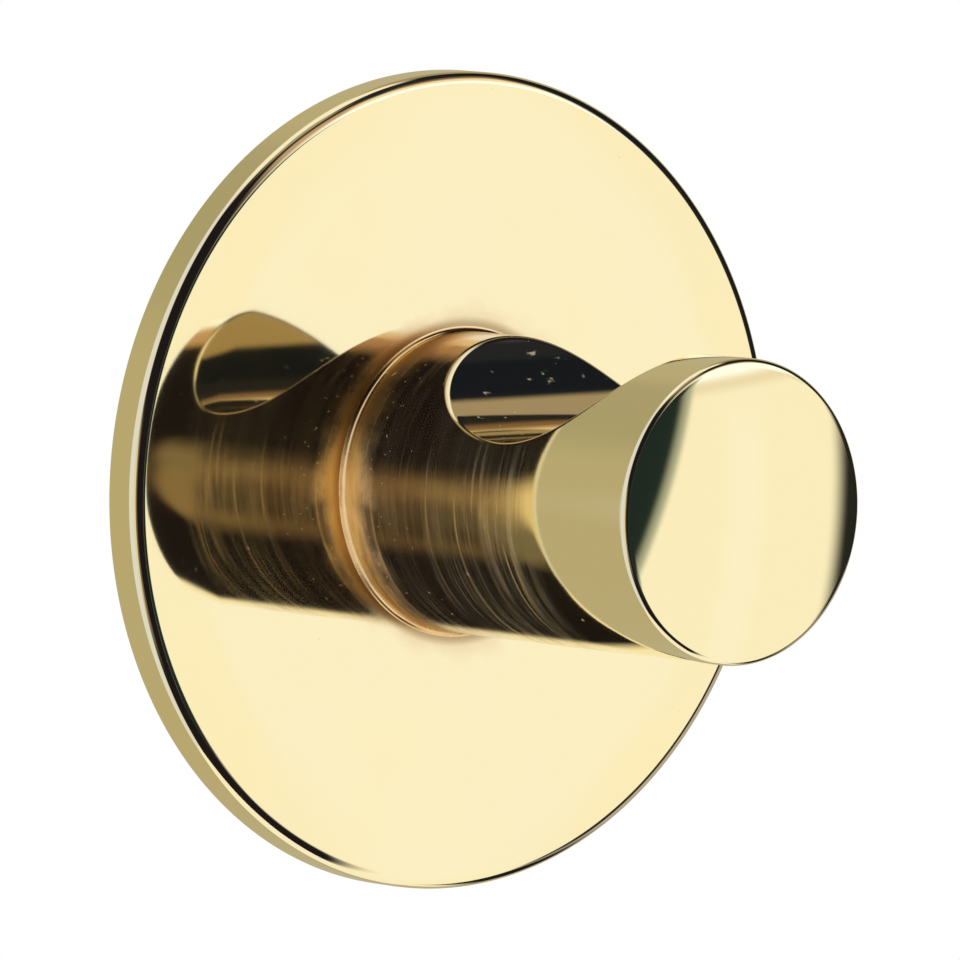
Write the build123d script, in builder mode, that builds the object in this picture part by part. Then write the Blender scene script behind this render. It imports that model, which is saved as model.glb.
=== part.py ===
import os
from math import cos, radians, sin, sqrt, tan

from build123d import *

# Round wall plate
plate_diameter = 50.0
plate_thickness = 3.0
rolled_margin = 6.5
margin_slope = 4.0
rim_roll_radius = 1.6
rim_roll_end = 28.0
rim_radius = 0.55
back_break = 0.3

# Peg that stands out of the plate
peg_diameter = 18.4
peg_length = 27.3
end_rise = 0.7
end_break = 0.5
seam_flare = 0.3

# Round saddle notch across the top of the peg
notch_radius = 10.0
notch_depth = 5.5
head_length = 4.1
notch_lip_radius = 0.25

# Spigot and tapped hole at the back of the peg
spigot_wall = 2.0
spigot_recess = 0.5
spigot_clearance = 0.05
tapped_depth = 11.0
drill_point = 1.5

# Double-ended wall screw
thread_diameter = 6.0
wood_thread_diameter = 5.6
screw_reach = 30.0
screw_point_length = 6.0
screw_point_radius = 0.3
screw_end_chamfer = 0.6
thread_clearance = 0.05
screw_end_gap = 0.5

# Derived sizes of the plate
plate_radius = plate_diameter / 2
flat_radius = plate_radius - rolled_margin
slope = radians(margin_slope)
roll_end = radians(rim_roll_end)
roll_radius = plate_radius - rim_radius * (1 - sin(roll_end))
margin_radius = roll_radius - rim_roll_radius * (sin(roll_end) - sin(slope))
margin_front = plate_thickness - (margin_radius - flat_radius) * tan(slope / 2)
roll_front = margin_front - rim_roll_radius * (cos(slope) - cos(roll_end))
rim_front = roll_front - rim_radius * cos(roll_end)

# Derived sizes of the peg, its notch and its back
peg_radius = peg_diameter / 2
peg_end = plate_thickness + peg_length
end_edge = peg_end - end_rise
thread_radius = thread_diameter / 2
tapped_radius = thread_radius + thread_clearance
spigot_radius = tapped_radius + spigot_wall
seat_radius = spigot_radius + spigot_clearance
notch_half_width = sqrt(notch_radius**2 - (notch_radius - notch_depth) ** 2)
notch_centre = end_edge - head_length - notch_half_width
notch_axis_height = peg_radius - notch_depth + notch_radius

# Derived sizes of the wall screw
screw_front = tapped_depth - screw_end_gap
wood_thread_radius = wood_thread_diameter / 2
screw_point_start = screw_reach - screw_point_length

os.makedirs("parts", exist_ok=True)

# Turned plate with a flat back, a flat middle, a margin that rolls away and a softly rolled rim
with BuildPart() as rose_plate:
    with BuildSketch(Plane.XY):
        with BuildLine():
            back = Line((seat_radius, 0), (plate_radius - back_break, 0))
            broken_edge = Line(back @ 1, (plate_radius, -back_break))
            wall = Line(broken_edge @ 1, (plate_radius, -rim_front))
            rim = TangentArc(wall @ 1, (roll_radius, -roll_front), tangent=(0, -1))
            roll = TangentArc(rim @ 1, (margin_radius, -margin_front), tangent=rim % 1)
            margin = TangentArc((flat_radius, -plate_thickness), roll @ 1, tangent=(1, 0))
            middle = Line(margin @ 0, (seat_radius, -plate_thickness))
            Line(middle @ 1, back @ 0)
        make_face()
    revolve(axis=Axis.Y)
rose_plate.part.label = "rose_plate"

# Turned peg with a low domed end, a flared seam and a tapped spigot at its back
with BuildPart() as peg:
    with BuildSketch(Plane.XY):
        with BuildLine():
            dome = TangentArc((0, -peg_end), (peg_radius, -end_edge), tangent=(1, 0))
            side = Line(dome @ 1, (peg_radius, -plate_thickness - seam_flare))
            flare = Line(side @ 1, (peg_radius + seam_flare, -plate_thickness))
            shoulder = Line(flare @ 1, (spigot_radius, -plate_thickness))
            spigot = Line(shoulder @ 1, (spigot_radius, -spigot_recess))
            mouth = Line(spigot @ 1, (tapped_radius, -spigot_recess))
            bore = Line(mouth @ 1, (tapped_radius, -tapped_depth))
            bottom = Line(bore @ 1, (0, -tapped_depth - drill_point))
            Line(bottom @ 1, dome @ 0)
        make_face()
    revolve(axis=Axis.Y)
    end_face = peg.faces().filter_by(GeomType.SPHERE)[0]
    chamfer(end_face.edges().filter_by(GeomType.CIRCLE).sort_by(Axis.Y)[-1], length=end_break)
    with BuildSketch(Plane.YZ):
        with Locations((-notch_centre, notch_axis_height)):
            Circle(notch_radius)
    extrude(amount=peg_diameter, both=True, mode=Mode.SUBTRACT)
    fillet(peg.edges(Select.NEW), radius=notch_lip_radius)
peg.part.label = "peg"

# Wall screw with a machine thread at the peg and a pointed wood thread behind the plate
with BuildPart() as wall_screw:
    with BuildSketch(Plane.XY):
        with BuildLine():
            Polyline(
                (0, -screw_front),
                (thread_radius - screw_end_chamfer, -screw_front),
                (thread_radius, -screw_front + screw_end_chamfer),
                (thread_radius, 0),
                (wood_thread_radius, 0),
                (wood_thread_radius, screw_point_start),
                (screw_point_radius, screw_reach),
                (0, screw_reach),
                close=True,
            )
        make_face()
    revolve(axis=Axis.Y)
wall_screw.part.label = "wall_screw"

export_step(rose_plate.part, "parts/rose_plate.step")
export_step(peg.part, "parts/peg.step")
export_step(wall_screw.part, "parts/wall_screw.step")
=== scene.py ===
"""Polished brass bath hook: a round plate, a notched peg and a wall screw, in a plain white studio."""

import math

import bpy
import numpy as np
from bpy.props import FloatProperty, FloatVectorProperty, PointerProperty
from mathutils import Matrix, Vector


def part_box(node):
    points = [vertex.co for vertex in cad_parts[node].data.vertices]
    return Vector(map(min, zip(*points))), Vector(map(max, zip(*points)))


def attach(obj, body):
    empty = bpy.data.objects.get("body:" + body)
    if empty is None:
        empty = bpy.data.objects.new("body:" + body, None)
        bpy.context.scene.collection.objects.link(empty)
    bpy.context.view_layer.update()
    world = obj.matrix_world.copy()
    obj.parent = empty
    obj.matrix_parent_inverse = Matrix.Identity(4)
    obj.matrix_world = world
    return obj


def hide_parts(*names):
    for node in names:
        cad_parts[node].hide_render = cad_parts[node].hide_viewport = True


bl_info = {
    "name": "Bath Hook",
    "version": (1, 0, 0),
    "blender": (4, 5, 0),
    "location": "View3D > Sidebar > Bath Hook",
    "description": "Makes a polished brass bath hook and the studio that shows it",
    "category": "Object",
}

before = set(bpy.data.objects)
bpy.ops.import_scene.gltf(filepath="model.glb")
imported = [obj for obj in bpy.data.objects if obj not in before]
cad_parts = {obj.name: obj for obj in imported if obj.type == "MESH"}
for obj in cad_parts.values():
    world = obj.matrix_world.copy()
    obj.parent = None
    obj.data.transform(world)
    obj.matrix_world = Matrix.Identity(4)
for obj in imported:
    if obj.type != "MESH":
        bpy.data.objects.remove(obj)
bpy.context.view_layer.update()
PLATE_LOW, PLATE_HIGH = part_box("rose_plate")
PEG_LOW, PEG_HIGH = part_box("peg")
SCREW_LOW, SCREW_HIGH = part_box("wall_screw")
MM = 0.001
PEG_RADIUS = 9.2 * MM


# Sizes and finishes


class PlateSettings(bpy.types.PropertyGroup):
    """Sizes of the round wall plate"""

    radius: FloatProperty(
        name="Radius",
        description="Outer radius of the plate",
        default=-PLATE_LOW.x,
        unit="LENGTH",
    )
    thickness: FloatProperty(
        name="Thickness",
        description="From the wall to the flat middle of the plate",
        default=PLATE_HIGH.y - PLATE_LOW.y,
        unit="LENGTH",
    )
    margin: FloatProperty(
        name="Rolled Margin",
        description="Width of the outer band that rolls away from the flat middle",
        default=5.4 * MM,
        unit="LENGTH",
    )
    margin_slope: FloatProperty(
        name="Margin Slope",
        description="How far the margin has turned where the rim begins",
        default=math.radians(4.0),
        subtype="ANGLE",
    )
    roll_radius: FloatProperty(
        name="Roll Radius",
        description="Rounding of the soft roll between the margin and the rim",
        default=1.25 * MM,
        unit="LENGTH",
    )
    roll_end: FloatProperty(
        name="Roll End",
        description="How far the roll has turned where the tighter rim begins",
        default=math.radians(28.0),
        subtype="ANGLE",
    )
    rim_radius: FloatProperty(
        name="Rim Radius",
        description="Rounding of the outer corner of the rim",
        default=0.55 * MM,
        unit="LENGTH",
    )
    back_break: FloatProperty(
        name="Back Break",
        description="Small break on the back edge",
        default=0.3 * MM,
        unit="LENGTH",
    )
    seat_radius: FloatProperty(
        name="Seat Radius",
        description="Radius of the hole that takes the peg's spigot",
        default=5.1 * MM,
        unit="LENGTH",
    )


class PegSettings(bpy.types.PropertyGroup):
    """Sizes of the peg and its notch"""

    radius: FloatProperty(
        name="Radius",
        description="Radius of the peg",
        default=PEG_RADIUS,
        unit="LENGTH",
    )
    end: FloatProperty(
        name="End",
        description="From the wall to the top of the domed end",
        default=-PEG_LOW.y,
        unit="LENGTH",
    )
    end_rise: FloatProperty(
        name="End Rise",
        description="Height of the dome on the end face",
        default=0.7 * MM,
        unit="LENGTH",
    )
    end_edge: FloatProperty(
        name="End Edge",
        description="Rounding of the edge of the end face",
        default=0.38 * MM,
        unit="LENGTH",
    )
    notch_radius: FloatProperty(
        name="Notch Radius",
        description="Radius of the round notch across the top",
        default=10.0 * MM,
        unit="LENGTH",
    )
    notch_depth: FloatProperty(
        name="Notch Depth",
        description="Depth of the notch below the top of the peg",
        default=5.5 * MM,
        unit="LENGTH",
    )
    notch_centre: FloatProperty(
        name="Notch Centre",
        description="From the wall to the middle of the notch",
        default=16.57 * MM,
        unit="LENGTH",
    )
    lip_radius: FloatProperty(
        name="Lip Radius",
        description="Rounding of the lip of the notch",
        default=0.25 * MM,
        unit="LENGTH",
    )
    flare: FloatProperty(
        name="Solder Flare",
        description="Width and height of the solder line at the foot",
        default=PEG_HIGH.x - PEG_RADIUS,
        unit="LENGTH",
    )
    spigot_radius: FloatProperty(
        name="Spigot Radius",
        description="Radius of the spigot that sits in the plate",
        default=5.05 * MM,
        unit="LENGTH",
    )
    bore_radius: FloatProperty(
        name="Bore Radius",
        description="Radius of the tapped hole",
        default=3.05 * MM,
        unit="LENGTH",
    )
    bore_depth: FloatProperty(
        name="Bore Depth",
        description="From the wall to the bottom of the tapped hole",
        default=11.0 * MM,
        unit="LENGTH",
    )
    drill_point: FloatProperty(
        name="Drill Point",
        description="Height of the cone at the bottom of the tapped hole",
        default=1.5 * MM,
        unit="LENGTH",
    )


class ScrewSettings(bpy.types.PropertyGroup):
    """Sizes of the double-ended wall screw"""

    thread_radius: FloatProperty(
        name="Machine Thread Radius",
        description="Outer radius of the thread inside the peg",
        default=SCREW_HIGH.x,
        unit="LENGTH",
    )
    thread_pitch: FloatProperty(
        name="Machine Thread Pitch",
        description="Pitch of the thread inside the peg",
        default=1.0 * MM,
        unit="LENGTH",
    )
    thread_depth: FloatProperty(
        name="Machine Thread Depth",
        description="Height of the ridge of the thread inside the peg",
        default=0.55 * MM,
        unit="LENGTH",
    )
    wood_radius: FloatProperty(
        name="Wood Thread Radius",
        description="Outer radius of the thread in the wall",
        default=2.8 * MM,
        unit="LENGTH",
    )
    wood_pitch: FloatProperty(
        name="Wood Thread Pitch",
        description="Pitch of the thread in the wall",
        default=2.5 * MM,
        unit="LENGTH",
    )
    wood_depth: FloatProperty(
        name="Wood Thread Depth",
        description="Height of the ridge of the thread in the wall",
        default=0.7 * MM,
        unit="LENGTH",
    )
    shank: FloatProperty(
        name="Plain Shank",
        description="Length of the plain shank behind the plate",
        default=4.0 * MM,
        unit="LENGTH",
    )
    front: FloatProperty(
        name="Front End",
        description="From the wall to the front end of the screw",
        default=-SCREW_LOW.y,
        unit="LENGTH",
    )
    reach: FloatProperty(
        name="Reach",
        description="How far the screw stands out behind the plate",
        default=SCREW_HIGH.y,
        unit="LENGTH",
    )
    point: FloatProperty(
        name="Point Length",
        description="Length of the tapered point",
        default=6.0 * MM,
        unit="LENGTH",
    )


class FinishSettings(bpy.types.PropertyGroup):
    """Colours and polish of the metals"""

    brass: FloatVectorProperty(
        name="Brass",
        description="Colour of the polished brass",
        default=(0.95, 0.83, 0.52),
        size=3,
        min=0.0,
        max=1.0,
        subtype="COLOR",
    )
    polish: FloatProperty(
        name="Polish Roughness",
        description="Roughness of the mirror polish",
        default=0.035,
        min=0.0,
        max=1.0,
    )
    tarnish: FloatVectorProperty(
        name="Solder Tarnish",
        description="Colour of the heat tarnish beside the soldered seam",
        default=(1.0, 0.57, 0.17),
        size=3,
        min=0.0,
        max=1.0,
        subtype="COLOR",
    )
    steel: FloatVectorProperty(
        name="Steel",
        description="Colour of the plated steel screw",
        default=(0.62, 0.62, 0.60),
        size=3,
        min=0.0,
        max=1.0,
        subtype="COLOR",
    )


class StageSettings(bpy.types.PropertyGroup):
    """Camera and floor of the studio"""

    azimuth: FloatProperty(
        name="Azimuth",
        description="Turn of the camera round the hook, 0 looks into the wall",
        default=math.radians(-39.1),
        subtype="ANGLE",
    )
    elevation: FloatProperty(
        name="Elevation",
        description="Height of the camera above the horizon",
        default=math.radians(4.9),
        subtype="ANGLE",
    )
    roll: FloatProperty(
        name="Roll",
        description="Tilt of the camera about its own axis",
        default=math.radians(0.275),
        subtype="ANGLE",
    )
    distance: FloatProperty(
        name="Distance",
        description="From the camera to the middle of the plate's back",
        default=0.9,
        unit="LENGTH",
    )
    lens: FloatProperty(
        name="Lens",
        description="Focal length in millimetres",
        default=552.2,
        subtype="DISTANCE_CAMERA",
    )
    shift: FloatVectorProperty(
        name="Shift",
        description="Sideways and upward shift of the frame",
        default=(0.0528, -0.0021),
        size=2,
    )
    floor_depth: FloatProperty(
        name="Floor Depth",
        description="From the middle of the plate down to the floor",
        default=0.3,
        unit="LENGTH",
    )
    floor_radius: FloatProperty(
        name="Floor Radius",
        description="Radius of the round pale floor",
        default=0.16,
        unit="LENGTH",
    )
    floor: FloatVectorProperty(
        name="Floor Colour",
        description="Colour of the pale floor",
        default=(0.92, 0.92, 0.92),
        size=3,
        min=0.0,
        max=1.0,
        subtype="COLOR",
    )


# Meshes from grids

SHARP_ANGLE = math.radians(40.0)
WELD_DIGITS = 7


def grid_faces(rows, columns, closed):
    """Quads of a grid of points, rows by columns, with the last column joined to the first if closed."""
    index = np.arange(rows * columns).reshape(rows, columns)
    if closed:
        index = np.hstack([index, index[:, :1]])
    quads = np.stack([index[:-1, :-1], index[:-1, 1:], index[1:, 1:], index[1:, :-1]], -1)
    return quads.reshape(-1, 4)


def joined_mesh(name, grids):
    """One mesh from several grids of points in metres, welded where their points coincide.

    Each grid is a pair: its points, of shape rows, columns, 3, and whether its columns close. Points
    that agree to a tenth of a micron become one vertex, and a quad that loses a corner at a pole
    becomes a triangle.
    """
    points, quads, start = [], [], 0
    for grid, closed in grids:
        rows, columns, _ = grid.shape
        points.append(grid.reshape(-1, 3))
        quads.append(grid_faces(rows, columns, closed) + start)
        start += rows * columns
    points, quads = np.concatenate(points), np.concatenate(quads)
    rounded = np.round(points, WELD_DIGITS)
    _, first, welded = np.unique(rounded, axis=0, return_index=True, return_inverse=True)
    points, quads = points[first], welded.reshape(-1)[quads]
    repeated = quads == np.roll(quads, 1, axis=1)
    whole = quads[~repeated.any(1)]
    at_pole = repeated.sum(1) == 1
    corners = quads[at_pole][~repeated[at_pole]].reshape(-1, 3)
    mesh = bpy.data.meshes.new(name)
    mesh.from_pydata(points.tolist(), [], whole.tolist() + corners.tolist())
    mesh.validate()
    mesh.shade_smooth()
    mesh.set_sharp_from_angle(angle=SHARP_ANGLE)
    return mesh


def whole_turn(columns):
    """Angles of a whole turn in equal steps, without its end."""
    return np.linspace(0.0, 2.0 * np.pi, columns, endpoint=False)


def turned(radius, along, sine, cosine):
    """Grid of points round the Y axis: (radius sin a, along, radius cos a) for the turn a."""
    return np.stack([radius * sine, along + 0.0 * sine, radius * cosine], -1)


def revolved(radius, along, columns):
    """Grid of a profile turned about the Y axis in equal steps of a whole turn."""
    turn = whole_turn(columns)
    return turned(radius[:, None], along[:, None], np.sin(turn), np.cos(turn))


def turned_from(edge, radius, along):
    """Grid of a profile turned about the Y axis through the same turns as a round edge of points."""
    ring = np.hypot(edge[:, 0], edge[:, 2])
    return turned(radius[:, None], along[:, None], edge[:, 0] / ring, edge[:, 2] / ring)


def new_piece(name, mesh, material, node):
    """Puts in the finished piece for one CAD node, with its material, on the one rigid body."""
    piece = bpy.data.objects.new(name, mesh)
    bpy.context.scene.collection.objects.link(piece)
    mesh.materials.append(material)
    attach(piece, "root")
    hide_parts(node)


# Form of the plate

PLATE_TURNS = 360
FLAT_POINTS, WALL_POINTS, BACK_POINTS = 12, 8, 6
MARGIN_POINTS, ROLL_POINTS, RIM_POINTS = 40, 28, 28


def plate_profile(s):
    """Radius and place along Y round the section of the plate, from the seat's front to its back.

    Three arcs follow each other, each tangent to the last: the margin turns from the flat middle by
    its slope, the roll goes on to its end, and the rim turns the rest of the way to the straight
    wall. An arc's point is its centre plus its radius times the sine and cosine of the turn.
    """
    flat = s.radius - s.margin
    rim_start = s.radius - s.rim_radius * (1.0 - math.sin(s.roll_end))
    roll_start = rim_start - s.roll_radius * (math.sin(s.roll_end) - math.sin(s.margin_slope))
    margin_radius = (roll_start - flat) / math.sin(s.margin_slope)
    quarter = math.pi / 2
    arcs = (
        (margin_radius, 0.0, s.margin_slope, MARGIN_POINTS),
        (s.roll_radius, s.margin_slope, s.roll_end, ROLL_POINTS),
        (s.rim_radius, s.roll_end, quarter, RIM_POINTS),
    )
    start, height = flat, s.thickness
    radius_parts = [np.linspace(s.seat_radius, flat, FLAT_POINTS, endpoint=False)]
    height_parts = [np.full(FLAT_POINTS, height)]
    for arc_radius, begin, finish, count in arcs:
        turn = np.linspace(begin, finish, count, endpoint=finish == quarter)
        radius_parts.append(start + arc_radius * (np.sin(turn) - math.sin(begin)))
        height_parts.append(height + arc_radius * (np.cos(turn) - math.cos(begin)))
        start += arc_radius * (math.sin(finish) - math.sin(begin))
        height += arc_radius * (math.cos(finish) - math.cos(begin))
    wall = np.linspace(height, s.back_break, WALL_POINTS)[1:]
    back = np.linspace(s.radius - s.back_break, s.seat_radius, BACK_POINTS)
    radius = np.concatenate([*radius_parts, np.full_like(wall, s.radius), back, [s.seat_radius]])
    height = np.concatenate([*height_parts, wall, np.zeros_like(back), [s.thickness]])
    return radius, -height


# Form of the peg

# Points of the side's grid: across and along its unrolled edge, and out over the notch's floor, its
# lip and the plain bar, where the rows crowd towards the lip by a power
EDGE_ACROSS, EDGE_ALONG = 168, 76
FLOOR_ROWS, LIP_ROWS, BAR_ROWS = 44, 49, 42
BAR_CROWDING = 1.6

# Where the floor's rows end before the lip, and how far the lip's rows reach to each side of it, in
# lip radii
FLOOR_GAP, LIP_REACH = 3.0, 2.4

# Shares of the peg's radius between which the surface is looked for, and how often they are halved
INMOST, OUTMOST, HALVINGS = 0.3, 1.01, 46

# Points over the end's rounded edge, up its dome and down the solder's flare
EDGE_POINTS, DOME_POINTS, FLARE_POINTS = 20, 40, 8


def cutter_height(s):
    """Height of the notch cutter's axis above the peg's axis."""
    return s.radius - s.notch_depth + s.notch_radius


def notch_half_width(s):
    """Half the length of the notch along the top of the peg."""
    return math.sqrt(s.notch_radius**2 - (s.notch_radius - s.notch_depth) ** 2)


def notched_solid(s, x, along, z):
    """How far a point lies outside the notched bar, negative inside, with the lip rounded.

    The bar is the distance from the Y axis less its radius, the cutter is its radius less the
    distance from the cutter's axis, and the two meet in a round intersection of the lip radius.
    """
    bar = np.hypot(x, z) - s.radius
    cutter = s.notch_radius - np.hypot(along - s.notch_centre, z - cutter_height(s))
    lip = s.lip_radius
    rounded = np.hypot(np.maximum(bar + lip, 0.0), np.maximum(cutter + lip, 0.0))
    return np.minimum(-lip, np.maximum(bar, cutter)) + rounded


def side_edge(s, front, foot):
    """Edge of the peg's unrolled side: across its foot, up, back across its front and down.

    Gives how far each point lies round the peg from its top line, and how far from the wall.
    """
    half_turn = math.pi * s.radius
    sweep = half_turn * np.linspace(-1.0, 1.0, EDGE_ACROSS, endpoint=False)
    rise = np.linspace(foot, front, EDGE_ALONG, endpoint=False)
    underside = np.full(EDGE_ALONG, half_turn)
    at_foot, at_front = np.full(EDGE_ACROSS, foot), np.full(EDGE_ACROSS, front)
    edge_round = np.concatenate([sweep, underside, -sweep, -underside])
    edge_along = np.concatenate([at_foot, rise, at_front, front + foot - rise])
    return edge_round, edge_along


def notch_lip(s, edge_round, edge_along):
    """Points of the notch's lip on the unrolled side, one in the direction of each point of its edge.

    Along the peg a point is half the notch's width times the cosine of the direction, and round the
    peg it lies where the bar is as high as the cutter's underside.
    """
    half_width = notch_half_width(s)
    reach = s.radius * math.acos((s.radius - s.notch_depth) / s.radius)
    angle = np.arctan2(edge_round / reach, (edge_along - s.notch_centre) / half_width)
    lip_along = half_width * np.cos(angle)
    floor = cutter_height(s) - np.sqrt(s.notch_radius**2 - lip_along**2)
    lip_round = s.radius * np.arccos(np.minimum(floor / s.radius, 1.0)) * np.sign(np.sin(angle))
    return lip_round, lip_along


def surface_radius(s, turn, along):
    """Distance from the peg's axis to the notched solid's surface at each turn and place, by halving."""
    low, high = np.full_like(turn, INMOST * s.radius), np.full_like(turn, OUTMOST * s.radius)
    for _ in range(HALVINGS):
        middle = 0.5 * (low + high)
        outside = notched_solid(s, middle * np.sin(turn), along, middle * np.cos(turn)) > 0.0
        low, high = np.where(outside, low, middle), np.where(outside, middle, high)
    return high


def notched_side(s, front, foot):
    """Grid of the peg's side between two distances from the wall, with its notch, and its two ends.

    The side is unrolled: the first parameter goes round the notch, the second goes out from the
    middle of the notch over its lip to the edge of the unrolled side. Each point is pushed out
    from the peg's axis until it meets the notched solid.
    """
    edge_round, edge_along = side_edge(s, front, foot)
    lip_round, lip_along = notch_lip(s, edge_round, edge_along)
    fine = s.lip_radius / notch_half_width(s)
    floor_share = np.linspace(0.0, 1.0 - FLOOR_GAP * fine, FLOOR_ROWS)
    lip_share = 1.0 + fine * np.linspace(-LIP_REACH, LIP_REACH, LIP_ROWS)
    inner = np.concatenate([floor_share, lip_share])[:, None]
    outer = np.linspace(0.0, 1.0, BAR_ROWS)[1:, None] ** BAR_CROWDING
    notch_round, notch_along = lip_round * inner, s.notch_centre + lip_along * inner
    bar_round = notch_round[-1] + (edge_round - notch_round[-1]) * outer
    bar_along = notch_along[-1] + (edge_along - notch_along[-1]) * outer
    turn = np.concatenate([notch_round, bar_round]) / s.radius
    along = np.concatenate([notch_along, bar_along])
    side = turned(surface_radius(s, turn, along), -along, np.sin(turn), np.cos(turn))
    front_start = EDGE_ACROSS + EDGE_ALONG
    front_edge = side[-1, front_start : front_start + EDGE_ACROSS + 1]
    foot_edge = side[-1, : EDGE_ACROSS + 1]
    return side, front_edge, foot_edge


def end_profile(s):
    """Radius and distance from the wall over the rounded edge and up the dome to its top.

    The dome is an arc about a centre on the axis, and the edge is an arc that touches it inside.
    """
    dome = (s.radius**2 + s.end_rise**2) / (2.0 * s.end_rise)
    slope = math.asin((s.radius - s.end_edge) / (dome - s.end_edge))
    centre = s.end - dome
    edge_along = centre + (dome - s.end_edge) * math.cos(slope)
    edge_radius = s.radius - s.end_edge
    turn = np.linspace(math.pi / 2, slope, EDGE_POINTS)
    face = np.linspace(slope, 0.0, DOME_POINTS)[1:]
    radius = np.concatenate([edge_radius + s.end_edge * np.sin(turn), dome * np.sin(face)])
    along = np.concatenate([edge_along + s.end_edge * np.cos(turn), centre + dome * np.cos(face)])
    return radius, along, edge_along


def foot_profile(s, plate_front, recess):
    """Radius and distance from the wall down the flare, under the shoulder and into the tapped hole.

    The flare is a hollow quarter of a circle, and straight lines join the corners behind it.
    """
    bow = np.linspace(0.0, math.pi / 2, FLARE_POINTS)
    flare_radius = s.radius + s.flare * (1.0 - np.cos(bow))
    flare_along = plate_front + s.flare * (1.0 - np.sin(bow))
    back_radius = [s.spigot_radius, s.spigot_radius, s.bore_radius, s.bore_radius, 0.0]
    back_along = [plate_front, recess, recess, s.bore_depth, s.bore_depth + s.drill_point]
    return np.concatenate([flare_radius, back_radius]), np.concatenate([flare_along, back_along])


# Form of the wall screw

SCREW_ROWS, SCREW_TURNS = 680, 72

# Where the machine thread ends, and the lengths over which it begins and the wood thread rises
THREAD_END, THREAD_LEAD, WOOD_LEAD = -0.5 * MM, 0.6 * MM, 0.9 * MM

# Shares of the half pitch at the flat crest and at the end of the flank
THREAD_CREST, THREAD_FOOT = 0.2, 1.0
WOOD_CREST, WOOD_FOOT = 0.08, 0.62

# Thinnest share of the radius at the point, before the power that bows its taper
POINT_SHARE, POINT_BOW = 0.02, 0.85


def thread_height(phase, crest, foot):
    """Height of a thread from 0 to 1 over one turn: flat on the crest's share, then straight flanks.

    The flanks end at the foot's share of the turn, and the core beyond it is plain.
    """
    distance = np.abs(phase - np.floor(phase) - 0.5) * 2.0
    return np.clip((foot - distance) / (foot - crest), 0.0, 1.0)


def screw_grid(s):
    """Grid of the wall screw: a round rod whose radius rises along a helix.

    The phase is the place along the screw in pitches less the turn, so the ridge climbs one pitch
    for each turn. Each thread rises over about its own depth, the shank between them is plain, and
    ridge and root taper together to the point.
    """
    along = np.linspace(-s.front, s.reach, SCREW_ROWS)[:, None]
    turn = whole_turn(SCREW_TURNS)
    machine = along < THREAD_END
    pitch = np.where(machine, s.thread_pitch, s.wood_pitch)
    depth = np.where(machine, s.thread_depth, s.wood_depth)
    outer = np.where(machine, s.thread_radius, s.wood_radius)
    crest = np.where(machine, THREAD_CREST, WOOD_CREST)
    foot = np.where(machine, THREAD_FOOT, WOOD_FOOT)
    taper = np.clip((s.reach - along) / s.point, POINT_SHARE, 1.0) ** POINT_BOW
    thread_lead = np.clip((along + s.front) / THREAD_LEAD, 0.0, 1.0)
    wood_lead = np.clip((along - s.shank) / WOOD_LEAD, 0.0, 1.0)
    ridge = thread_height(along / pitch - turn / (2.0 * np.pi), crest, foot)
    wood = outer - depth * (1.0 - ridge) * wood_lead
    radius = np.where(machine, outer - depth * (1.0 - ridge * thread_lead), wood * taper)
    body = turned(radius, along, np.sin(turn), np.cos(turn))
    ends = body[[0, -1]] * [0.0, 1.0, 0.0]
    return np.concatenate([ends[:1], body, ends[1:]])


# Nodes

# Places of the colour sockets of a Mix node
MIX_SHARE, MIX_FIRST, MIX_SECOND, MIX_RESULT = 0, 6, 7, 2


def fill(tree, inputs, values):
    """Links the given outputs to inputs, and sets inputs to the given constants."""
    for key, value in dict(values).items():
        if isinstance(value, bpy.types.NodeSocket):
            tree.links.new(value, inputs[key])
        else:
            inputs[key].default_value = value


def add(tree, kind, values=(), **settings):
    """A node with its settings, whose inputs hold the given constants or link to the given outputs."""
    node = tree.nodes.new(kind)
    for name, value in settings.items():
        setattr(node, name, value)
    fill(tree, node.inputs, values)
    return node


def reckon(tree, operation, *values):
    """Output of a Math node."""
    return add(tree, "ShaderNodeMath", enumerate(values), operation=operation).outputs[0]


def product(tree, first, *others):
    """Product of masks and numbers."""
    for other in others:
        first = reckon(tree, "MULTIPLY", first, other)
    return first


def summed(tree, start, *shares):
    """A start value plus masks times their amounts, given in pairs."""
    for mask, amount in shares:
        start = reckon(tree, "MULTIPLY_ADD", mask, amount, start)
    return start


def eased(tree, value, begin, finish):
    """Output that goes smoothly from 0 where the value is begin to 1 where it is finish."""
    values = {"Value": value, "From Min": begin, "From Max": finish}
    return add(tree, "ShaderNodeMapRange", values, interpolation_type="SMOOTHSTEP").outputs["Result"]


def stretched(tree, place, scale):
    """A place whose axes are multiplied by the numbers of a scale."""
    node = add(tree, "ShaderNodeVectorMath", enumerate((place, scale)), operation="MULTIPLY")
    return node.outputs[0]


def grain(tree, place, scale, detail, rough):
    """Noise from 0 to 1 over a place that is first stretched by a scale for each axis."""
    vector = stretched(tree, place, scale)
    values = {"Vector": vector, "Scale": 1.0, "Detail": detail, "Roughness": rough}
    return add(tree, "ShaderNodeTexNoise", values).outputs["Fac"]


def grained(tree, place, name):
    """Mask of one of the grains: its noise, eased between its two levels."""
    scale, detail, rough, begin, finish = GRAINS[name]
    return eased(tree, grain(tree, place, scale, detail, rough), begin, finish)


def faded(tree, measures, fades):
    """Masks by name, each going from 0 to 1 between two places along its measure."""
    return {
        name: eased(tree, measures[measure], begin * MM, finish * MM)
        for name, (measure, begin, finish) in fades.items()
    }


def mixed(tree, share, first, second):
    """Colour between two colours."""
    values = {MIX_SHARE: share, MIX_FIRST: first, MIX_SECOND: second}
    return add(tree, "ShaderNodeMix", values, data_type="RGBA").outputs[MIX_RESULT]


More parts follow.
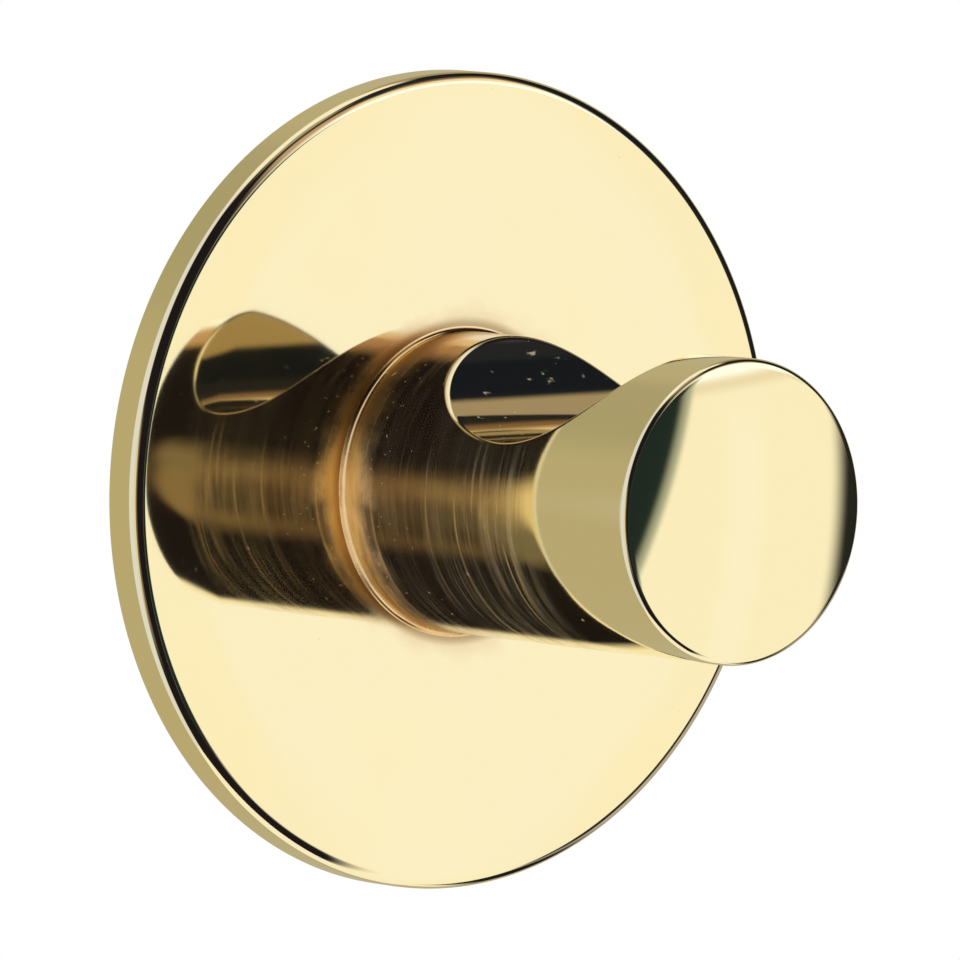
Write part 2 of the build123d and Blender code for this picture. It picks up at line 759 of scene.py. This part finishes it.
def layered(tree, metal, *films):
    """Colour of a metal under films, each given as its mask, its amount and its colour."""
    colour = (*metal, 1.0)
    for mask, amount, film in films:
        colour = mixed(tree, product(tree, mask, amount), colour, (*film, 1.0))
    return colour


def new_group(name, inputs, outputs):
    """An empty shader node group with named sockets, given as pairs of name and kind."""
    tree = bpy.data.node_groups.new(name, "ShaderNodeTree")
    for socket, kind in inputs:
        tree.interface.new_socket(socket, in_out="INPUT", socket_type=kind)
    for socket, kind in outputs:
        tree.interface.new_socket(socket, in_out="OUTPUT", socket_type=kind)
    return tree, tree.nodes.new("NodeGroupInput").outputs, tree.nodes.new("NodeGroupOutput").inputs


def use_group(tree, group, values):
    """Outputs of a group placed in a node tree."""
    return add(tree, "ShaderNodeGroup", values, node_tree=group).outputs


def new_material(name):
    """A node material with its tree and the inputs of its Principled shader."""
    material = bpy.data.materials.new(name)
    material.use_nodes = True
    tree = material.node_tree
    return material, tree, tree.nodes["Principled BSDF"].inputs


def object_place(tree):
    """Object coordinates of the piece that has the material."""
    return tree.nodes.new("ShaderNodeTexCoord").outputs["Object"]


# Finishes

WARM_BRASS = (0.97, 0.82, 0.47)
SMUDGE_BROWN = (0.80, 0.55, 0.33)
# Painted shade: the dark brown of a ring on the plate round the peg's foot, for the seam's shadow gap
SEAM_SHADE_BROWN = (0.30, 0.17, 0.06)
# Partly real scratches, partly painted sheen: their brown-gold with lower metallic paints the light they
# scatter
SCRATCH_SHEEN = (0.82, 0.55, 0.22)
OXIDE_BROWN = (0.55, 0.38, 0.25)
BLOTCH_BROWN = (0.34, 0.17, 0.12)
# Painted highlight: the bright gold of the solder line at the foot of the peg, for the seam's highlight
SOLDER_HIGHLIGHT_GOLD = (1.0, 0.72, 0.36)
PASSIVE_FILM = (0.70, 0.66, 0.52)

# How far the solder's tarnish reaches over the plate and along the peg
PLATE_TARNISH, PEG_TARNISH = 2.2 * MM, 3.3 * MM

# Levels of the dust's noise above which specks show, the step from none to full, and the drop of
# the peg's level towards the plate
PLATE_SPECKS, PEG_SPECKS, SPECK_STEP, SEAM_DROP = 0.80, 0.75, 0.03, -0.06
DUST_GRAIN = ((2600.0, 2600.0, 2600.0), 2.0, 0.5)

# Each grain: its scale for each axis in waves for each metre, its detail and roughness, and the
# levels of its noise at which its mask is 0 and 1
GRAINS = {
    "tarnish_patch": ((420.0, 420.0, 420.0), 3.0, 0.55, 0.30, 0.62),
    "haze": ((95.0, 95.0, 95.0), 6.0, 0.55, 0.35, 0.72),
    "fine_scratch": ((120.0, 6200.0, 120.0), 4.0, 0.7, 0.42, 0.76),
    "broad_scratch": ((75.0, 1500.0, 75.0), 4.0, 0.62, 0.44, 0.70),
    "crisp_scratch": ((95.0, 2900.0, 95.0), 2.0, 0.5, 0.60, 0.70),
    "rubbed_patch": ((170.0, 170.0, 170.0), 4.0, 0.6, 0.32, 0.68),
    "mottle": ((420.0, 1900.0, 420.0), 4.0, 0.65, 0.36, 0.58),
    "fleck": ((650.0, 900.0, 1300.0), 2.0, 0.6, 0.66, 0.75),
    "blotch": ((260.0, 420.0, 260.0), 5.0, 0.7, 0.40, 0.64),
    "passive_cloud": ((260.0, 130.0, 260.0), 5.0, 0.6, 0.35, 0.7),
}

# Each fade: the measure that it follows, and where its mask is 0 and where it is 1, in millimetres
PLATE_FADES = {
    "front": ("from_wall", 1.0, 2.0),
    # Where the painted ring of shade lies, close round the peg's foot
    "seam_shade": ("from_seam", 1.0, 0.35),
}
PEG_FADES = {
    "bar": ("below_bar", 0.16, 0.04),
    "below_lip": ("below_bar", 0.3, 0.7),
    "shank": ("from_wall", 21.4, 18.5),
    "near_head": ("from_wall", 11.5, 16.5),
    "near_seam": ("from_wall", 10.0, 5.5),
    "notch_back": ("from_wall", 17.0, 16.0),
    "behind_head": ("from_wall", 25.4, 25.0),
    "off_end_face": ("from_wall", 26.0, 25.0),
    "out_of_plate": ("from_plate", -0.3, 0.0),
    # Where the solder's painted highlight lies, just off the plate
    "solder_highlight_line": ("from_plate", 0.40, 0.22),
    "past_solder": ("from_plate", 0.2, 0.5),
    "dusty": ("from_plate", 8.0, 2.0),
    "oxide": ("from_plate", 9.0, 6.5),
    # The fades by height below shape painted light: the scratches' weaker top, the tarnish's glow and
    # the solder's highlight
    "low_down": ("height", 5.0, -3.0),
    "below_top": ("height", 4.5, 0.0),
    "above_low_side": ("height", -7.0, -1.5),
    "above_bottom": ("height", -9.0, -4.5),
}


def solder_tarnish_group():
    """Patchy mask that is strong at the seam and dies away over a reach."""
    if "solder_tarnish" in bpy.data.node_groups:
        return bpy.data.node_groups["solder_tarnish"]
    inputs = (
        ("Place", "NodeSocketVector"),
        ("Distance", "NodeSocketFloat"),
        ("Reach", "NodeSocketFloat"),
    )
    full_share, falloff = 0.15, 1.2
    tree, given, result = new_group("solder_tarnish", inputs, (("Mask", "NodeSocketFloat"),))
    ragged = summed(tree, 0.8, (grained(tree, given["Place"], "tarnish_patch"), 0.4))
    share = reckon(tree, "DIVIDE", given["Distance"], product(tree, given["Reach"], ragged))
    near = eased(tree, share, 1.0, full_share)
    fill(tree, result, {"Mask": reckon(tree, "POWER", near, falloff)})
    return tree


def polish_haze_group():
    """Broad cloudy mask of handling and polish, and sparse fine specks of dust."""
    if "polish_haze" in bpy.data.node_groups:
        return bpy.data.node_groups["polish_haze"]
    inputs = (("Place", "NodeSocketVector"), ("Speck Level", "NodeSocketFloat"))
    outputs = (("Haze", "NodeSocketFloat"), ("Specks", "NodeSocketFloat"))
    tree, given, result = new_group("polish_haze", inputs, outputs)
    full = reckon(tree, "ADD", given["Speck Level"], SPECK_STEP)
    specks = eased(tree, grain(tree, given["Place"], *DUST_GRAIN), given["Speck Level"], full)
    fill(tree, result, {"Haze": grained(tree, given["Place"], "haze"), "Specks": specks})
    return tree


def around_axis(tree, place):
    """Outputs for the distance from the hook's axis, the distance from the wall and the height."""
    flat = stretched(tree, place, (1.0, 0.0, 1.0))
    length = add(tree, "ShaderNodeVectorMath", {0: flat}, operation="LENGTH")
    split = add(tree, "ShaderNodeSeparateXYZ", {0: place}).outputs
    return length.outputs["Value"], reckon(tree, "MULTIPLY", split["Y"], -1.0), split["Z"]


def plate_brass(finish, peg):
    """Mirror polished brass with faint haze, brown smudges of tarnish and a painted dark ring of shade.

    The smudges die away over a short reach round the foot of the peg, and the ring of painted shade lies
    close beside it, standing in for the dark shadow gap of the seam as the mirror shows it. Both keep to
    the front of the plate.
    """
    material, tree, shader = new_material("polished_brass_plate")
    place = object_place(tree)
    radius, from_wall, _ = around_axis(tree, place)
    from_seam = reckon(tree, "SUBTRACT", radius, peg.radius)
    fade = faded(tree, {"from_wall": from_wall, "from_seam": from_seam}, PLATE_FADES)
    seam = {"Place": place, "Distance": from_seam, "Reach": PLATE_TARNISH}
    tarnish = product(tree, fade["front"], use_group(tree, solder_tarnish_group(), seam)["Mask"])
    # Painted shade: a dark brown ring close round the foot of the peg, for the seam's shadow gap
    seam_shade = product(tree, fade["front"], fade["seam_shade"])
    polish = use_group(tree, polish_haze_group(), {"Place": place, "Speck Level": PLATE_SPECKS})
    films = (
        (polish["Haze"], 0.5, WARM_BRASS),
        (tarnish, 0.4, SMUDGE_BROWN),
        (seam_shade, 0.6, SEAM_SHADE_BROWN),
    )
    dulled = ((polish["Haze"], 0.02), (tarnish, 0.16), (polish["Specks"], 0.3))
    values = {
        "Base Color": layered(tree, finish.brass, *films),
        "Roughness": summed(tree, finish.polish, *dulled),
        "Metallic": 1.0,
    }
    fill(tree, shader, values)
    return material


def turning_marks(tree, place, fade, on_shank):
    """Mask of the scratches round the shank: three noises squeezed along the peg and drawn out round it.

    They are strongest low on the peg, near the head and near the seam. The mask also carries the
    scratches' painted sheen, and its weakening high on the peg is painted shade on the darker top.
    """
    patchy = summed(tree, 0.3, (grained(tree, place, "rubbed_patch"), 0.6))
    rubbed = product(tree, grained(tree, place, "broad_scratch"), patchy)
    crisp, fine = grained(tree, place, "crisp_scratch"), grained(tree, place, "fine_scratch")
    # Weaker high on the peg: painted shade on the darker top of the shank
    low_down = summed(tree, 0.2, (fade["low_down"], 0.8))
    near_ends = reckon(tree, "MAXIMUM", fade["near_head"], fade["near_seam"])
    handled = summed(tree, 0.5, (near_ends, 0.5))
    scratched = summed(tree, rubbed, (crisp, 1.1), (fine, 0.35))
    return product(tree, on_shank, low_down, handled, scratched)


def seam_films(tree, place, fade, from_plate):
    """Masks of the tarnish at the seam, of its film past the solder, of its painted glow and of the
    solder's painted highlight.

    The glow is a painted glow: where the film is made matt it takes the light of the room, and
    its mask is mottled and fades towards the top and the low side of the peg as painted light.
    """
    seam = {"Place": place, "Distance": from_plate, "Reach": PEG_TARNISH}
    tarnish = use_group(tree, solder_tarnish_group(), seam)["Mask"]
    tarnish = product(tree, tarnish, fade["out_of_plate"])
    film = product(tree, tarnish, fade["past_solder"])
    mottle = grained(tree, place, "mottle")
    # Painted light: the glow fades towards the top and the low side of the peg, after where the light
    # falls
    lit = product(tree, fade["below_top"], summed(tree, 0.2, (fade["above_low_side"], 0.8)))
    painted_glow = product(tree, lit, film, summed(tree, 0.6, (mottle, 0.4)))
    # Painted highlight: the solder's bright gold line, broken up and faded at the top and bottom of the
    # peg
    broken_highlight = product(tree, fade["below_top"], summed(tree, 0.55, (mottle, 0.45)))
    solder = product(tree, broken_highlight, fade["above_bottom"], fade["solder_highlight_line"])
    return tarnish, film, painted_glow, solder


def dust_specks(tree, place, fade, in_notch):
    """Mask of dust: fine specks that grow denser towards the plate, and flecks in the notch's back."""
    level = summed(tree, PEG_SPECKS, (fade["dusty"], SEAM_DROP))
    specks = use_group(tree, polish_haze_group(), {"Place": place, "Speck Level": level})["Specks"]
    in_back = product(tree, in_notch, fade["notch_back"])
    dust = summed(tree, specks, (grained(tree, place, "fleck"), in_back))
    return product(tree, dust, fade["off_end_face"])


def peg_brass(finish, peg, plate_front):
    """Polished brass with turning scratches, brown oxide and blotches, solder tarnish and dust, and
    painted
    light: a sheen on the scratches, a glow on the tarnish and a highlight on the solder.

    The scratches and blotches keep to the shank: off the head, and off the inside of the notch, which
    lies nearer to the axis than the bar. The oxide browns the bar towards the plate. Scratches,
    blotches, glowing tarnish, solder and dust are less metallic than the clean brass; on the scratches,
    the tarnish and the solder this paints a sheen, a glow and a highlight.
    """
    material, tree, shader = new_material("polished_brass_peg")
    place = object_place(tree)
    radius, from_wall, height = around_axis(tree, place)
    measures = {
        "below_bar": reckon(tree, "SUBTRACT", peg.radius, radius),
        "from_wall": from_wall,
        "from_plate": reckon(tree, "SUBTRACT", from_wall, plate_front),
        "height": height,
    }
    fade = faded(tree, measures, PEG_FADES)
    on_shank = product(tree, fade["bar"], fade["shank"])
    in_notch = product(tree, fade["below_lip"], fade["behind_head"])
    oxide = product(tree, fade["bar"], fade["oxide"])
    blotch = product(tree, on_shank, grained(tree, place, "blotch"))
    scratches_and_sheen = turning_marks(tree, place, fade, on_shank)
    tarnish, film, painted_glow, solder = seam_films(tree, place, fade, measures["from_plate"])
    specks = dust_specks(tree, place, fade, in_notch)
    films = (
        # Scratch colour: real scratches carrying a painted sheen of the light they scatter
        (scratches_and_sheen, 0.8, SCRATCH_SHEEN),
        (oxide, 0.5, OXIDE_BROWN),
        (blotch, 0.3, BLOTCH_BROWN),
        (summed(tree, 0.0, (film, 0.5), (tarnish, 0.45)), 1.0, finish.tarnish),
        # The solder's gold, made matt below, is a painted highlight of the seam
        (solder, 1.0, SOLDER_HIGHLIGHT_GOLD),
    )
    dulled = ((on_shank, 0.045), (scratches_and_sheen, 0.2), (film, 0.3), (specks, 0.4), (in_notch, 0.035))
    # Lower metallic on scratches, tarnish glow and solder paints sheen, glow and highlight; on blotches
    # and dust it is their matt film
    covered = ((scratches_and_sheen, -0.14), (blotch, -0.015), (painted_glow, -0.95), (solder, -0.75), (specks, -0.3))
    relief = {"Strength": 0.3, "Distance": 0.006 * MM, "Height": scratches_and_sheen}
    values = {
        "Base Color": layered(tree, finish.brass, *films),
        "Roughness": summed(tree, finish.polish, *dulled),
        "Metallic": summed(tree, 1.0, *covered),
        "Specular IOR Level": 0.1,
        "Normal": add(tree, "ShaderNodeBump", relief).outputs["Normal"],
    }
    fill(tree, shader, values)
    return material


def screw_steel(finish):
    """Bright zinc-plated steel with a faint cloudy passive film, duller where it is thick."""
    material, tree, shader = new_material("plated_steel_screw")
    cloud = grained(tree, object_place(tree), "passive_cloud")
    values = {
        "Base Color": layered(tree, finish.steel, (cloud, 0.5, PASSIVE_FILM)),
        "Roughness": summed(tree, 0.2, (cloud, 0.16)),
        "Metallic": 1.0,
    }
    fill(tree, shader, values)
    return material


# Studio

WHITE = (1.0, 1.0, 1.0, 1.0)
FLOOR_RINGS, FLOOR_TURNS = 9, 96
SENSOR_WIDTH = 36.0
CLIP_START, CLIP_END = 0.01, 20.0

# Each card: middle azimuth, half width and side softness, lowest and highest elevation and end
# softness, all in degrees, its lean in degrees of azimuth for each degree of elevation, and its
# colour. Azimuth 0 is straight in front of the wall and 90 is to its right. A later card stands in
# front of an earlier one.
STUDIO_CARDS = {
    "cool_gap": (-103.0, 38.0, 6.0, -70.0, 70.0, 20.0, 0.0, (0.76, 0.83, 1.02)),
    "pale_backdrop": (160.0, 62.0, 6.0, -95.0, 54.0, 24.0, 0.0, (0.50, 0.46, 0.31)),
    "backdrop_shade": (-165.0, 30.0, 20.0, 27.0, 62.0, 18.0, 0.0, (0.42, 0.40, 0.27)),
    "backdrop_brown": (120.0, 24.0, 4.0, 36.0, 62.0, 10.0, 0.0, (0.37, 0.30, 0.205)),
    "front_flag": (-18.5, 41.5, 16.0, -72.0, 66.0, 16.0, 0.0, (0.013, 0.011, 0.016)),
    "right_flag": (79.0, 23.5, 8.0, -50.0, 62.0, 8.0, 0.0, (0.009, 0.012, 0.021)),
    "upper_flag": (40.0, 24.0, 6.0, 30.0, 66.0, 8.0, 0.0, (0.019, 0.021, 0.032)),
    "brown_shelf": (47.0, 11.0, 4.0, 26.0, 36.5, 5.0, 0.0, (0.23, 0.155, 0.12)),
    "gold_shelf": (23.0, 9.0, 8.0, 22.0, 35.0, 7.0, 0.0, (0.56, 0.385, 0.26)),
    "right_shelf": (80.0, 20.0, 6.0, -33.0, -14.0, 6.0, 0.0, (0.48, 0.45, 0.50)),
    "ceiling_panel": (12.0, 16.0, 14.0, 48.0, 75.0, 14.0, 0.0, (0.39, 0.39, 0.30)),
    "window_card": (40.8, 17.4, 1.6, -76.0, 6.2, 1.6, 0.0, (1.02, 1.02, 0.96)),
    "window_glow": (39.6, 2.6, 3.0, -40.0, 4.0, 6.0, 0.0, (1.02, 1.04, 1.05)),
    "window_bar": (41.0, 13.0, 2.0, 6.4, 7.6, 1.0, 0.0, (0.89, 0.84, 0.75)),
    "window_top": (41.5, 12.0, 3.0, 18.0, 29.5, 8.0, 0.0, (0.98, 0.84, 0.66)),
    "window_head": (41.5, 12.0, 3.0, 7.6, 20.0, 1.2, 0.0, (1.10, 1.25, 1.55)),
    "stand_edge": (22.5, 7.2, 1.2, -25.0, 9.5, 3.0, 0.43, (0.42, 0.47, 0.42)),
    "stand_flag": (22.1, 6.4, 1.6, -25.0, 9.0, 3.0, 0.43, (0.015, 0.028, 0.030)),
    "side_flag": (62.0, 7.5, 3.4, -30.0, 14.0, 4.0, 0.0, (0.018, 0.020, 0.022)),
    "floor_flag": (0.0, 34.0, 8.0, -95.0, -24.0, 8.0, 0.0, (0.013, 0.011, 0.016)),
    "warm_band": (-40.0, 15.0, 8.0, -14.0, 2.0, 20.0, 0.0, (0.085, 0.064, 0.055)),
    "warm_panel": (-36.3, 3.0, 2.5, -27.0, 0.0, 12.0, -0.31, (0.26, 0.20, 0.14)),
    "warm_upper": (-34.4, 3.0, 2.5, -4.0, 7.0, 12.0, 0.0, (0.22, 0.19, 0.15)),
    "amber_low": (-53.5, 12.0, 3.0, -34.0, -10.0, 10.0, -0.28, (0.18, 0.17, 0.15)),
    "amber_panel": (-51.1, 12.0, 0.6, -12.0, 4.5, 16.0, 0.0, (0.32, 0.25, 0.18)),
    "left_panel": (-57.5, 12.0, 2.5, -26.0, 9.0, 18.0, 0.0, (0.80, 0.74, 0.60)),
}
CARD_NUMBERS = ("Middle", "Half Width", "Side Softness", "Low", "High", "End Softness", "Lean")


def studio_card_group():
    """One soft-edged card on the sphere round the hook, in front of what was there before.

    The card's share is the product of three smooth steps: one in the angle from its middle azimuth,
    which moves by the lean with elevation, and one each in the elevation above its low end and below
    its high end.
    """
    numbers = ("Azimuth", "Elevation", *CARD_NUMBERS)
    inputs = [(name, "NodeSocketFloat") for name in numbers]
    inputs += [("Behind", "NodeSocketColor"), ("Card", "NodeSocketColor")]
    tree, given, result = new_group("studio_card", inputs, (("Colour", "NodeSocketColor"),))
    middle = reckon(tree, "MULTIPLY_ADD", given["Lean"], given["Elevation"], given["Middle"])
    turn = reckon(tree, "WRAP", reckon(tree, "SUBTRACT", given["Azimuth"], middle), 180.0, -180.0)
    half_side = product(tree, given["Side Softness"], 0.5)
    half_end = product(tree, given["End Softness"], 0.5)

    def step(value, edge, half, rising):
        before, after = reckon(tree, "SUBTRACT", edge, half), reckon(tree, "ADD", edge, half)
        return eased(tree, value, before, after) if rising else eased(tree, value, after, before)

    side = step(reckon(tree, "ABSOLUTE", turn), given["Half Width"], half_side, False)
    low = step(given["Elevation"], given["Low"], half_end, True)
    high = step(given["Elevation"], given["High"], half_end, False)
    share = product(tree, side, low, high)
    fill(tree, result, {"Colour": mixed(tree, share, given["Behind"], given["Card"])})
    return tree


def seen_in_metal(tree, ray):
    """1 for a ray that metal or glass sends on, and 0 for others."""
    return reckon(tree, "MAXIMUM", ray["Is Glossy Ray"], ray["Is Transmission Ray"])


def studio_world():
    """White all round at strength 1, and the same white with the studio's cards for reflections."""
    world = bpy.data.worlds.new("white_studio")
    world.use_nodes = True
    world.cycles.sampling_method = "NONE"
    tree = world.node_tree
    direction = tree.nodes.new("ShaderNodeTexCoord").outputs["Generated"]
    split = add(tree, "ShaderNodeSeparateXYZ", {0: direction}).outputs
    forward = reckon(tree, "MULTIPLY", split["Y"], -1.0)
    azimuth = reckon(tree, "DEGREES", reckon(tree, "ARCTAN2", split["X"], forward))
    elevation = reckon(tree, "DEGREES", reckon(tree, "ARCSINE", split["Z"]))
    group, colour = studio_card_group(), WHITE
    for *numbers, card in STUDIO_CARDS.values():
        values = {"Azimuth": azimuth, "Elevation": elevation, "Behind": colour, "Card": (*card, 1.0)}
        colour = use_group(tree, group, values | dict(zip(CARD_NUMBERS, numbers)))["Colour"]
    ray = tree.nodes.new("ShaderNodeLightPath").outputs
    seen = mixed(tree, seen_in_metal(tree, ray), WHITE, colour)
    fill(tree, tree.nodes["Background"].inputs, {"Color": seen})
    return world


def floor_material(s):
    """Matt pale floor that the camera and the metal see as white where no shadow falls on it."""
    material, tree, shader = new_material("pale_floor")
    ray = tree.nodes.new("ShaderNodeLightPath").outputs
    seen = reckon(tree, "MAXIMUM", ray["Is Camera Ray"], seen_in_metal(tree, ray))
    values = {
        "Base Color": (*s.floor, 1.0),
        "Roughness": 0.9,
        "Specular IOR Level": 0.0,
        "Emission Color": WHITE,
        "Emission Strength": product(tree, seen, 1.0 - s.floor[1]),
    }
    fill(tree, shader, values)
    return material


def floor_grid(s):
    """Grid of a round flat floor at its depth below the hook: (radius cos a, radius sin a, -depth)."""
    radius = np.linspace(0.0, s.floor_radius, FLOOR_RINGS)[:, None]
    turn = whole_turn(FLOOR_TURNS)
    depth = np.full((FLOOR_RINGS, FLOOR_TURNS), s.floor_depth)
    return np.stack([radius * np.cos(turn), radius * np.sin(turn), -depth], -1)


# Operators


class HOOK_OT_make_plate(bpy.types.Operator):
    """Turn the round plate from its section"""

    bl_idname = "hook.make_plate"
    bl_label = "Make Plate"

    def execute(self, context):
        scene = context.scene
        radius, along = plate_profile(scene.hook_plate)
        grid = revolved(radius, along, PLATE_TURNS)[:, ::-1]
        mesh = joined_mesh("rose_plate_form", [(grid, True)])
        material = plate_brass(scene.hook_finish, scene.hook_peg)
        new_piece("polished_plate", mesh, material, "rose_plate")
        return {"FINISHED"}


class HOOK_OT_make_peg(bpy.types.Operator):
    """Make the notched peg with its domed end and tapped back"""

    bl_idname = "hook.make_peg"
    bl_label = "Make Peg"

    def execute(self, context):
        scene = context.scene
        s = scene.hook_peg
        plate_front = scene.hook_plate.thickness
        end_radius, end_along, front = end_profile(s)
        foot_radius, foot_along = foot_profile(s, plate_front, -PEG_HIGH.y)
        side, front_edge, foot_edge = notched_side(s, front, plate_front + s.flare)
        end = turned_from(front_edge, end_radius, -end_along)
        foot = turned_from(foot_edge, foot_radius, -foot_along)
        mesh = joined_mesh("peg_form", [(side, True), (end, False), (foot, False)])
        material = peg_brass(scene.hook_finish, s, plate_front)
        new_piece("notched_peg", mesh, material, "peg")
        return {"FINISHED"}


class HOOK_OT_make_screw(bpy.types.Operator):
    """Make the double-ended wall screw with both threads"""

    bl_idname = "hook.make_screw"
    bl_label = "Make Wall Screw"

    def execute(self, context):
        scene = context.scene
        mesh = joined_mesh("wall_screw_form", [(screw_grid(scene.hook_screw), True)])
        material = screw_steel(scene.hook_finish)
        new_piece("threaded_wall_screw", mesh, material, "wall_screw")
        return {"FINISHED"}


class HOOK_OT_make_stage(bpy.types.Operator):
    """Set up the camera, the pale floor and the studio light"""

    bl_idname = "hook.make_stage"
    bl_label = "Make Stage"

    def execute(self, context):
        scene = context.scene
        s = scene.hook_stage
        scene.view_settings.view_transform = "Standard"
        data = bpy.data.cameras.new("studio_camera")
        data.lens, data.sensor_width = s.lens, SENSOR_WIDTH
        data.shift_x, data.shift_y = s.shift
        data.clip_start, data.clip_end = CLIP_START, CLIP_END
        camera = bpy.data.objects.new("studio_camera", data)
        scene.collection.objects.link(camera)
        level = math.cos(s.elevation)
        back = Vector((math.sin(s.azimuth) * level, -math.cos(s.azimuth) * level, math.sin(s.elevation)))
        place = Matrix.Translation(back * s.distance)
        turn = (-back).to_track_quat("-Z", "Y").to_matrix().to_4x4()
        camera.matrix_world = place @ turn @ Matrix.Rotation(s.roll, 4, "Z")
        scene.camera = camera
        scene.world = studio_world()
        mesh = joined_mesh("floor_form", [(floor_grid(s), True)])
        mesh.materials.append(floor_material(s))
        floor = bpy.data.objects.new("studio_floor", mesh)
        scene.collection.objects.link(floor)
        return {"FINISHED"}


class HOOK_PT_bath_hook(bpy.types.Panel):
    """Sizes, finishes and steps of the bath hook"""

    bl_label = "Bath Hook"
    bl_idname = "HOOK_PT_bath_hook"
    bl_space_type = "VIEW_3D"
    bl_region_type = "UI"
    bl_category = "Bath Hook"

    def draw(self, context):
        for operator in OPERATORS:
            self.layout.operator(operator.bl_idname)
        for group, settings in SETTINGS.items():
            box = self.layout.box()
            for name in settings.__annotations__:
                box.prop(getattr(context.scene, group), name)


SETTINGS = {
    "hook_plate": PlateSettings,
    "hook_peg": PegSettings,
    "hook_screw": ScrewSettings,
    "hook_finish": FinishSettings,
    "hook_stage": StageSettings,
}
OPERATORS = (HOOK_OT_make_plate, HOOK_OT_make_peg, HOOK_OT_make_screw, HOOK_OT_make_stage)


def register():
    """Adds the settings, operators and panel."""
    for group, settings in SETTINGS.items():
        bpy.utils.register_class(settings)
        setattr(bpy.types.Scene, group, PointerProperty(type=settings))
    for item in (*OPERATORS, HOOK_PT_bath_hook):
        bpy.utils.register_class(item)


def unregister():
    """Takes the panel, operators and settings away again."""
    for item in (HOOK_PT_bath_hook, *reversed(OPERATORS)):
        bpy.utils.unregister_class(item)
    for group, settings in reversed(SETTINGS.items()):
        delattr(bpy.types.Scene, group)
        bpy.utils.unregister_class(settings)


def main():
    """Makes every piece and the stage."""
    register()
    bpy.ops.hook.make_plate()
    bpy.ops.hook.make_peg()
    bpy.ops.hook.make_screw()
    bpy.ops.hook.make_stage()


if __name__ == "__main__":
    main()
